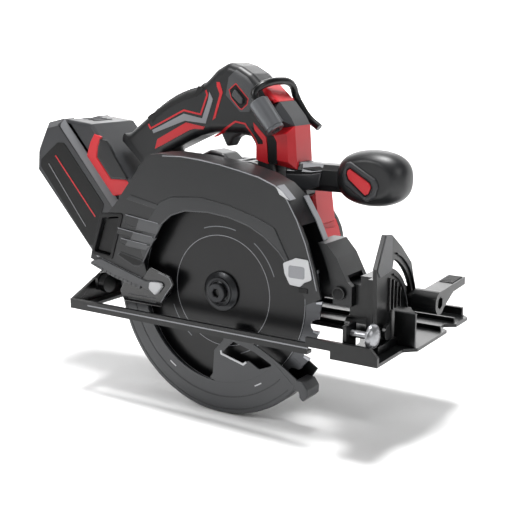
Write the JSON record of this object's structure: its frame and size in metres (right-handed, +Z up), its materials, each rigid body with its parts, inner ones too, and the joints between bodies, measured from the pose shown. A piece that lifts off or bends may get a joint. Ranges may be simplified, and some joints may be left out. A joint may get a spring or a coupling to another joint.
{
  "type": "circular saw",
  "caption": "Cordless sidewinder circular saw with a toothed blade under fixed and swinging guards, a slotted shoe with depth and bevel settings, two handles and a slide-on battery.",
  "frame": {"origin": "on the flat of the shoe's sole, under the arbor's line and 70 mm from the blade's plane towards the motor", "axes": "+X the cutting direction, +Y the operator's left (the motor side), +Z up from the sole"},
  "size_m": [0.388, 0.157, 0.2792],
  "materials": {
    "guard_metal": "charcoal satin painted casting",
    "shoe_metal": "dark satin painted plate",
    "bright_steel": "satin bright steel",
    "black_steel": "satin black",
    "blade_paint": "gloss black paint on steel",
    "charcoal_plastic": "satin charcoal plastic",
    "black_plastic": "black plastic",
    "grip_rubber": "matte black overmould",
    "red_plastic": "satin red plastic",
    "silver_paint": "satin silver",
    "winding_core": "copper windings on a steel core",
    "board_green": "green circuit board",
    "cell_can": "blue wrapped cell"
  },
  "bodies": {
    "saw_body": {"upper_guard": "guard_metal", "gearbox_housing": "guard_metal", "spindle_bearing_front": "bright_steel", "spindle_bearing_rear": "bright_steel", "rotor_bearing_front": "bright_steel", "rotor_bearing_rear": "bright_steel", "motor_housing": "red_plastic", "motor_end_cap": "charcoal_plastic", "stator": "winding_core", "handle_shell_right": "charcoal_plastic", "handle_shell_left": "charcoal_plastic", "handle_grip_cover": "grip_rubber", "column_cover": "red_plastic", "switch_body": "black_plastic", "controller_board": "board_green", "battery_terminals": "black_plastic", "front_handle": "grip_rubber", "hook_barrel": "bright_steel", "lower_guard_spring": "bright_steel", "depth_pivot_bolt": "black_steel", "depth_clamp_bolt": "bright_steel"},
    "spindle": {"saw_blade": "blade_paint", "blade_flange_outer": "bright_steel", "blade_flange_inner": "bright_steel", "blade_bolt": "black_steel", "spindle": "bright_steel", "drive_gear": "bright_steel"},
    "rotor": {"rotor": "bright_steel", "cooling_fan": "black_plastic"},
    "lower_guard": {"lower_guard": "guard_metal", "lower_guard_lever": "silver_paint"},
    "trigger": {"trigger": "charcoal_plastic"},
    "lock_off": {"lock_off_button": "charcoal_plastic"},
    "spindle_lock": {"spindle_lock_button": "black_plastic"},
    "bevel_frame": {"bevel_bracket": "black_steel", "bevel_pivot_front": "black_steel", "bevel_stud": "bright_steel", "depth_bracket": "black_steel", "bevel_pivot_rear": "black_steel"},
    "shoe": {"shoe": "shoe_metal", "bevel_quadrant": "shoe_metal", "fence_clamp": "shoe_metal"},
    "bevel_lever": {"bevel_lever": "black_steel"},
    "depth_lever": {"depth_lever": "black_plastic"},
    "fence_screw": {"fence_screw": "bright_steel"},
    "rafter_hook": {"rafter_hook": "black_steel"},
    "battery": {"battery_case_lower": "charcoal_plastic", "battery_case_upper": "red_plastic", "battery_board": "board_green", "battery_cell_pair_1": "cell_can", "battery_cell_pair_2": "cell_can", "battery_cell_pair_3": "cell_can", "battery_cell_pair_4": "cell_can", "battery_cell_pair_5": "cell_can"},
    "battery_latch": {"battery_latch_button": "charcoal_plastic"}
  },
  "joints": [
    {"name": "blade_spin", "type": "hinge", "parent": "saw_body", "child": "spindle", "pos_m": [0, -0.07, 0.02857], "axis": [0, 1, 0], "continuous": true},
    {"name": "rotor_spin", "type": "hinge", "parent": "saw_body", "child": "rotor", "pos_m": [0.01, 0, 0.05558], "axis": [0, 1, 0], "continuous": true},
    {"name": "lower_guard_swing", "type": "hinge", "parent": "saw_body", "child": "lower_guard", "pos_m": [0, -0.07, 0.02857], "axis": [0, 1, 0], "range_deg": [0, 125], "stiffness_Nm_per_rad": 0.25, "springref_deg": -57.3, "deforming": ["lower_guard_spring"]},
    {"name": "trigger_pull", "type": "slide", "parent": "saw_body", "child": "trigger", "axis": [-0.3, 0, 0.9539], "range_m": [0, 0.006], "stiffness_N_per_m": 400, "springref_m": -0.01},
    {"name": "lock_off_press", "type": "slide", "parent": "saw_body", "child": "lock_off", "axis": [0, 1, 0], "range_m": [0, 0.003], "stiffness_N_per_m": 600, "springref_m": -0.003},
    {"name": "spindle_lock_press", "type": "slide", "parent": "saw_body", "child": "spindle_lock", "axis": [-1, 0, 0], "range_m": [0, 0.002], "stiffness_N_per_m": 800, "springref_m": -0.003},
    {"name": "depth_setting", "type": "hinge", "parent": "saw_body", "child": "bevel_frame", "pos_m": [0.107, -0.056, 0.042], "axis": [0, -1, 0], "range_deg": [0, 24]},
    {"name": "bevel_setting", "type": "hinge", "parent": "bevel_frame", "child": "shoe", "pos_m": [0, -0.066, 0.017], "axis": [-1, 0, 0], "range_deg": [0, 50]},
    {"name": "bevel_lever_turn", "type": "hinge", "parent": "bevel_frame", "child": "bevel_lever", "pos_m": [0.15, -0.01794, 0.03078], "axis": [1, 0, 0], "range_deg": [0, 60]},
    {"name": "depth_lever_turn", "type": "hinge", "parent": "saw_body", "child": "depth_lever", "pos_m": [-0.071, -0.045, 0.042], "axis": [0, 1, 0], "range_deg": [-40, 0]},
    {"name": "fence_screw_turn", "type": "hinge", "parent": "shoe", "child": "fence_screw", "pos_m": [0.13, -0.086, 0.018], "axis": [1, 0, 0], "range_deg": [-180, 180]},
    {"name": "rafter_hook_swing", "type": "hinge", "parent": "saw_body", "child": "rafter_hook", "pos_m": [0.02425, -0.043, 0.167], "axis": [0.6225, 0, -0.7826], "range_deg": [0, 180]},
    {"name": "battery_release", "type": "slide", "parent": "saw_body", "child": "battery", "axis": [-0.6691, 0, 0.7431], "range_m": [0, 0.09]},
    {"name": "battery_latch_press", "type": "slide", "parent": "battery", "child": "battery_latch", "axis": [0, 0, -1], "range_m": [0, 0.002], "stiffness_N_per_m": 800, "springref_m": -0.003}
  ],
  "couplings": [
    {"joint": "rotor_spin", "follows": "blade_spin", "ratio": -3}
  ]
}
